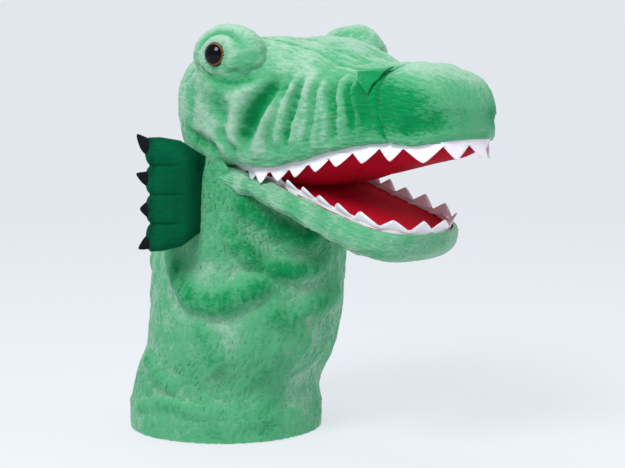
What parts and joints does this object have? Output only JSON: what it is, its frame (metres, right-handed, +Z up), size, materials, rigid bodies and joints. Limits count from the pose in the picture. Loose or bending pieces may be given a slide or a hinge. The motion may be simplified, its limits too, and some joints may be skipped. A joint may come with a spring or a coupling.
{
  "type": "moving mouth hand puppet",
  "caption": "Plush crocodile hand puppet with a hinged mouth, felt teeth, red mouth lining, domed eyes and side paws; a hand goes in through the round cuff.",
  "frame": {"origin": "centre of the hand opening, at the bottom rim of the cuff", "axes": "+Z up, the snout points along -Y, +X is the puppet's own left"},
  "size_m": [0.2026, 0.284, 0.282],
  "materials": {
    "green_plush": "short-pile plush, mottled nap",
    "dark_plush": "short-pile plush",
    "black_felt": "stuffed black cloth",
    "stuffing": "polyester fibre fill",
    "eye": "domed moulded plastic, brown rim",
    "washer": "moulded lock washer",
    "white_felt": "stiff felt",
    "red_lining": "smooth woven lining",
    "board": "stiff sheet",
    "pocket_cloth": "plain cotton"
  },
  "bodies": {
    "sleeve": {"cuff_hem": "green_plush", "sleeve_front_panel": "green_plush", "sleeve_back_panel": "green_plush"},
    "neck": {"throat_panel": "green_plush", "nape_panel": "green_plush", "mouth_fold_lining": "red_lining"},
    "head": {"crown_panel": "green_plush", "cheek_panel_left": "green_plush", "cheek_panel_right": "green_plush", "nose_panel": "green_plush", "crown_stuffing": "stuffing", "nose_stuffing": "stuffing", "nostril_left": "dark_plush", "nostril_right": "dark_plush", "eye_mound_left": "green_plush", "eye_mound_right": "green_plush", "eye_left": "eye", "eye_right": "eye", "eye_washer_left": "washer", "eye_washer_right": "washer", "upper_mouth_plate": "board", "palate_lining": "red_lining", "finger_pocket": "pocket_cloth", "upper_teeth": "white_felt"},
    "lower_jaw": {"chin_panel": "green_plush", "chin_stuffing": "stuffing", "lower_mouth_plate": "board", "lower_mouth_lining": "red_lining", "thumb_pocket": "pocket_cloth", "lower_teeth": "white_felt"},
    "paw_left": {"paw_left": "dark_plush", "paw_stuffing_left": "stuffing", "claws_left": "black_felt"},
    "paw_right": {"paw_right": "dark_plush", "paw_stuffing_right": "stuffing", "claws_right": "black_felt"}
  },
  "joints": [
    {"name": "head_turn", "type": "hinge", "parent": "sleeve", "child": "neck", "pos_m": [0, -0.025, 0.1146], "axis": [0, 0, 1], "range_deg": [-30, 30]},
    {"name": "upper_jaw_lift", "type": "hinge", "parent": "neck", "child": "head", "pos_m": [0, -0.058, 0.191], "axis": [-1, 0, 0], "range_deg": [-4, 10]},
    {"name": "jaw_open", "type": "hinge", "parent": "neck", "child": "lower_jaw", "pos_m": [0, -0.058, 0.191], "axis": [1, 0, 0], "range_deg": [-12, 12]},
    {"name": "paw_left_swing", "type": "hinge", "parent": "neck", "child": "paw_left", "pos_m": [0.06405, -0.045, 0.172], "axis": [0, 0, -1], "range_deg": [-4, 45]},
    {"name": "paw_right_swing", "type": "hinge", "parent": "neck", "child": "paw_right", "pos_m": [-0.06405, -0.045, 0.172], "axis": [0, 0, 1], "range_deg": [-4, 45]}
  ]
}
